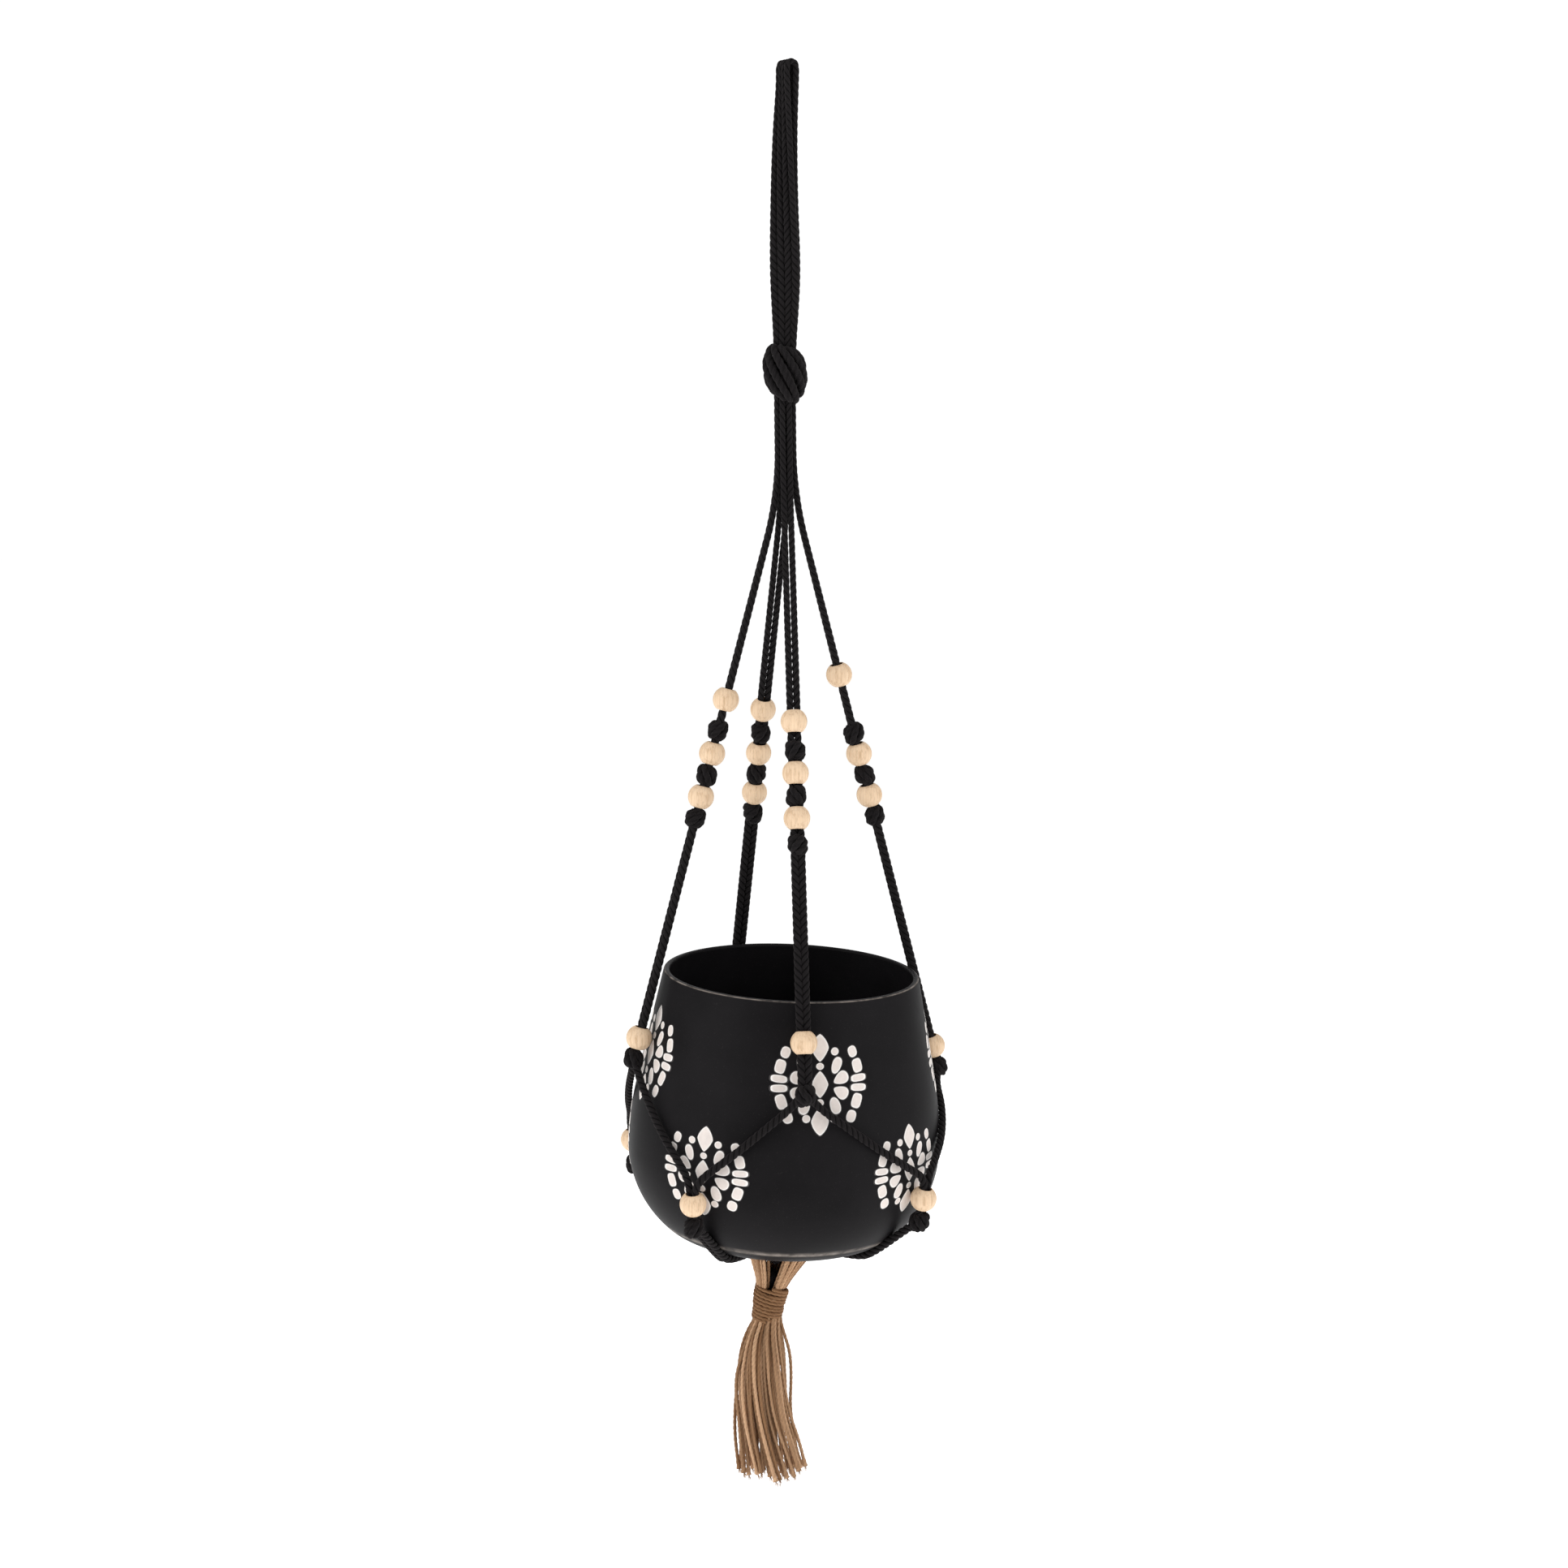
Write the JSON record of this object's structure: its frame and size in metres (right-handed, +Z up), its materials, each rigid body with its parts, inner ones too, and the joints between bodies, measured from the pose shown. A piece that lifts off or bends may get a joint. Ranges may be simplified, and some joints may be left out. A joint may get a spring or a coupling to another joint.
{
  "type": "hanging macrame planter",
  "caption": "Black cotton-cord macrame hanger with wooden beads and overhand knots, cradling a round-bellied ceramic pot with inlaid medallions above a jute tassel.",
  "frame": {"origin": "where a hook bears inside the top of the hanging loop", "axes": "+Z up along the hanging line, -Y the front of the planter, +X its right"},
  "size_m": [0.1953, 0.1968, 0.8256],
  "materials": {
    "black_cotton": "twisted matte cotton cord",
    "natural_wood": "sanded raw wood",
    "black_ceramic": "matte black with pale inlay",
    "jute": "two-ply jute yarn"
  },
  "bodies": {
    "hanger": {"cord_left": "black_cotton", "cord_middle_left": "black_cotton", "cord_middle_right": "black_cotton", "cord_right": "black_cotton", "main_knot": "black_cotton", "left_knot_1": "black_cotton", "left_knot_2": "black_cotton", "left_knot_3": "black_cotton", "left_rim_knot": "black_cotton", "front_knot_1": "black_cotton", "front_knot_2": "black_cotton", "front_knot_3": "black_cotton", "front_rim_knot": "black_cotton", "right_knot_1": "black_cotton", "right_knot_2": "black_cotton", "right_knot_3": "black_cotton", "right_rim_knot": "black_cotton", "back_knot_1": "black_cotton", "back_knot_2": "black_cotton", "back_knot_3": "black_cotton", "back_rim_knot": "black_cotton", "front_left_low_knot": "black_cotton", "front_right_low_knot": "black_cotton", "back_right_low_knot": "black_cotton", "back_left_low_knot": "black_cotton", "tassel_head": "jute"},
    "pot": {"pot": "black_ceramic"},
    "left_bead_1_body": {"left_bead_1": "natural_wood"},
    "left_bead_2_body": {"left_bead_2": "natural_wood"},
    "left_bead_3_body": {"left_bead_3": "natural_wood"},
    "left_rim_bead_body": {"left_rim_bead": "natural_wood"},
    "front_bead_1_body": {"front_bead_1": "natural_wood"},
    "front_bead_2_body": {"front_bead_2": "natural_wood"},
    "front_bead_3_body": {"front_bead_3": "natural_wood"},
    "front_rim_bead_body": {"front_rim_bead": "natural_wood"},
    "right_bead_1_body": {"right_bead_1": "natural_wood"},
    "right_bead_2_body": {"right_bead_2": "natural_wood"},
    "right_bead_3_body": {"right_bead_3": "natural_wood"},
    "right_rim_bead_body": {"right_rim_bead": "natural_wood"},
    "back_bead_1_body": {"back_bead_1": "natural_wood"},
    "back_bead_2_body": {"back_bead_2": "natural_wood"},
    "back_bead_3_body": {"back_bead_3": "natural_wood"},
    "back_rim_bead_body": {"back_rim_bead": "natural_wood"},
    "front_left_low_bead_body": {"front_left_low_bead": "natural_wood"},
    "front_right_low_bead_body": {"front_right_low_bead": "natural_wood"},
    "back_right_low_bead_body": {"back_right_low_bead": "natural_wood"},
    "back_left_low_bead_body": {"back_left_low_bead": "natural_wood"},
    "tassel_pivot": {"base_knot": "black_cotton"},
    "tassel": {"tassel_wrap": "jute", "tassel_skirt": "jute", "cord_ends": "black_cotton"}
  },
  "joints": [
    {"name": "pot_turn", "type": "hinge", "parent": "hanger", "child": "pot", "pos_m": [0.0024, 0, -0.514], "axis": [0.0418, -0.0244, 0.9988], "continuous": true},
    {"name": "left_bead_1_slide", "type": "slide", "parent": "hanger", "child": "left_bead_1_body", "axis": [0.2496, 0.0775, 0.9652], "range_m": [-0.0057, 0.06]},
    {"name": "left_bead_2_spin", "type": "hinge", "parent": "hanger", "child": "left_bead_2_body", "pos_m": [-0.04293, -0.0123, -0.3846], "axis": [0.2496, 0.0775, 0.9652], "continuous": true},
    {"name": "left_bead_3_spin", "type": "hinge", "parent": "hanger", "child": "left_bead_3_body", "pos_m": [-0.04931, -0.01429, -0.4093], "axis": [0.2496, 0.0775, 0.9652], "continuous": true},
    {"name": "left_rim_bead_slide", "type": "slide", "parent": "hanger", "child": "left_rim_bead_body", "axis": [0.2496, 0.0775, 0.9652], "range_m": [0, 0.006]},
    {"name": "front_bead_1_slide", "type": "slide", "parent": "hanger", "child": "front_bead_1_body", "axis": [-0.0301, 0.263, 0.9643], "range_m": [-0.0042, 0.06]},
    {"name": "front_bead_2_spin", "type": "hinge", "parent": "hanger", "child": "front_bead_2_body", "pos_m": [0.00454, -0.04611, -0.3912], "axis": [-0.0301, 0.263, 0.9643], "continuous": true},
    {"name": "front_bead_3_spin", "type": "hinge", "parent": "hanger", "child": "front_bead_3_body", "pos_m": [0.00531, -0.0528, -0.4157], "axis": [-0.0301, 0.263, 0.9643], "continuous": true},
    {"name": "front_rim_bead_slide", "type": "slide", "parent": "hanger", "child": "front_rim_bead_body", "axis": [-0.0301, 0.263, 0.9643], "range_m": [-0.0165, 0.004]},
    {"name": "right_bead_1_slide", "type": "slide", "parent": "hanger", "child": "right_bead_1_body", "axis": [-0.2432, -0.1016, 0.9646], "range_m": [-0.0233, 0.06]},
    {"name": "right_bead_2_spin", "type": "hinge", "parent": "hanger", "child": "right_bead_2_body", "pos_m": [0.04158, 0.01639, -0.3886], "axis": [-0.2432, -0.1016, 0.9646], "continuous": true},
    {"name": "right_bead_3_spin", "type": "hinge", "parent": "hanger", "child": "right_bead_3_body", "pos_m": [0.04776, 0.01897, -0.4131], "axis": [-0.2432, -0.1016, 0.9646], "continuous": true},
    {"name": "right_rim_bead_slide", "type": "slide", "parent": "hanger", "child": "right_rim_bead_body", "axis": [-0.2432, -0.1016, 0.9646], "range_m": [0, 0.006]},
    {"name": "back_bead_1_slide", "type": "slide", "parent": "hanger", "child": "back_bead_1_body", "axis": [0.098, -0.2481, 0.9638], "range_m": [-0.0025, 0.06]},
    {"name": "back_bead_2_spin", "type": "hinge", "parent": "hanger", "child": "back_bead_2_body", "pos_m": [-0.01688, 0.04391, -0.3918], "axis": [0.098, -0.2481, 0.9638], "continuous": true},
    {"name": "back_bead_3_spin", "type": "hinge", "parent": "hanger", "child": "back_bead_3_body", "pos_m": [-0.01937, 0.05022, -0.4163], "axis": [0.098, -0.2481, 0.9638], "continuous": true},
    {"name": "back_rim_bead_slide", "type": "slide", "parent": "hanger", "child": "back_rim_bead_body", "axis": [0.098, -0.2481, 0.9638], "range_m": [0, 0.006]},
    {"name": "front_left_low_bead_spin", "type": "hinge", "parent": "hanger", "child": "front_left_low_bead_body", "pos_m": [-0.05281, -0.08089, -0.6298], "axis": [-0.0303, -0.1434, 0.9892], "continuous": true},
    {"name": "front_right_low_bead_spin", "type": "hinge", "parent": "hanger", "child": "front_right_low_bead_body", "pos_m": [0.07745, -0.05319, -0.63458], "axis": [0.1552, -0.104, 0.9824], "continuous": true},
    {"name": "back_right_low_bead_spin", "type": "hinge", "parent": "hanger", "child": "back_right_low_bead_body", "pos_m": [0.04195, 0.08986, -0.6296], "axis": [0.1047, 0.0998, 0.9895], "continuous": true},
    {"name": "back_left_low_bead_spin", "type": "hinge", "parent": "hanger", "child": "back_left_low_bead_body", "pos_m": [-0.09227, 0.04099, -0.62517], "axis": [-0.0865, 0.0302, 0.9958], "continuous": true},
    {"name": "tassel_swing_front", "type": "hinge", "parent": "hanger", "child": "tassel_pivot", "pos_m": [-0.0103, 0.0032, -0.6985], "axis": [1, 0, 0], "range_deg": [-18, 18]},
    {"name": "tassel_swing_side", "type": "hinge", "parent": "tassel_pivot", "child": "tassel", "pos_m": [-0.0103, 0.0032, -0.6985], "axis": [0, 1, 0], "range_deg": [-18, 18]}
  ]
}
